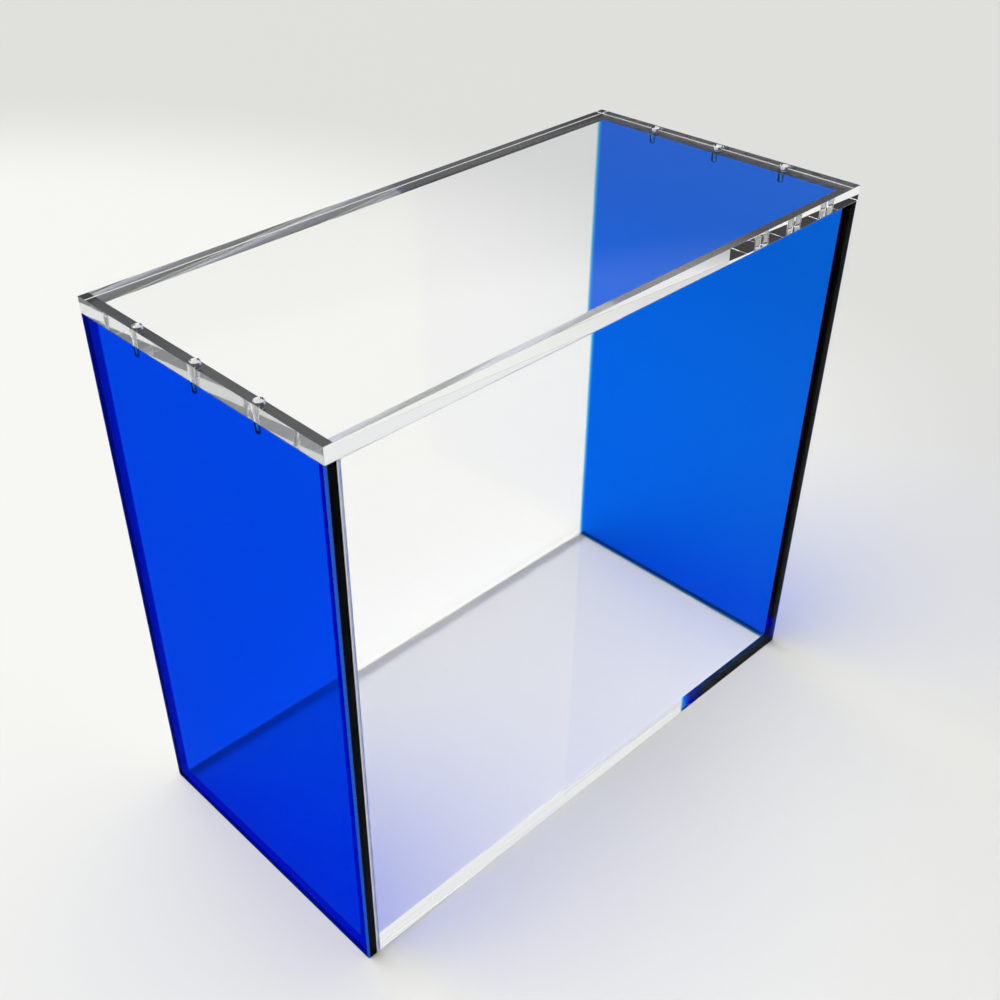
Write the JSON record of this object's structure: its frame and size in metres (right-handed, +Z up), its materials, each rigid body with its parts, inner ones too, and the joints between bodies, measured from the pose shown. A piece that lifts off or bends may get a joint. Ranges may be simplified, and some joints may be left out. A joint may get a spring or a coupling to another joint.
{
  "type": "acrylic display case",
  "caption": "Rectangular display case of clear acrylic sheet with blue see-through ends and a flush clear lid held by small headed pins, for showing a boxed collectible free of dust.",
  "frame": {"origin": "centre of the footprint, on the surface that the case stands on", "axes": "+X to the right end, +Y to the back, +Z up through the lid"},
  "size_m": [0.202, 0.1, 0.178],
  "materials": {
    "clear_sheet": "clear polished cast acrylic sheet",
    "blue_sheet": "see-through blue cast acrylic sheet, polished",
    "clear_pin": "clear moulded plastic"
  },
  "bodies": {
    "case": {"base_panel": "clear_sheet", "front_panel": "clear_sheet", "back_panel": "clear_sheet", "left_end_panel": "blue_sheet", "right_end_panel": "blue_sheet"},
    "lid": {"lid_panel": "clear_sheet"},
    "lid_pin_left_front": {"lid_pin_left_front": "clear_pin"},
    "lid_pin_left_middle": {"lid_pin_left_middle": "clear_pin"},
    "lid_pin_left_back": {"lid_pin_left_back": "clear_pin"},
    "lid_pin_right_front": {"lid_pin_right_front": "clear_pin"},
    "lid_pin_right_middle": {"lid_pin_right_middle": "clear_pin"},
    "lid_pin_right_back": {"lid_pin_right_back": "clear_pin"}
  },
  "joints": [
    {"name": "lid_lift", "type": "slide", "parent": "case", "child": "lid", "axis": [0, 0, 1], "range_m": [0, 0.2]},
    {"name": "lid_pin_left_front_pull", "type": "slide", "parent": "lid", "child": "lid_pin_left_front", "axis": [0, 0, 1], "range_m": [0, 0.012]},
    {"name": "lid_pin_left_middle_pull", "type": "slide", "parent": "lid", "child": "lid_pin_left_middle", "axis": [0, 0, 1], "range_m": [0, 0.012]},
    {"name": "lid_pin_left_back_pull", "type": "slide", "parent": "lid", "child": "lid_pin_left_back", "axis": [0, 0, 1], "range_m": [0, 0.012]},
    {"name": "lid_pin_right_front_pull", "type": "slide", "parent": "lid", "child": "lid_pin_right_front", "axis": [0, 0, 1], "range_m": [0, 0.012]},
    {"name": "lid_pin_right_middle_pull", "type": "slide", "parent": "lid", "child": "lid_pin_right_middle", "axis": [0, 0, 1], "range_m": [0, 0.012]},
    {"name": "lid_pin_right_back_pull", "type": "slide", "parent": "lid", "child": "lid_pin_right_back", "axis": [0, 0, 1], "range_m": [0, 0.012]}
  ]
}
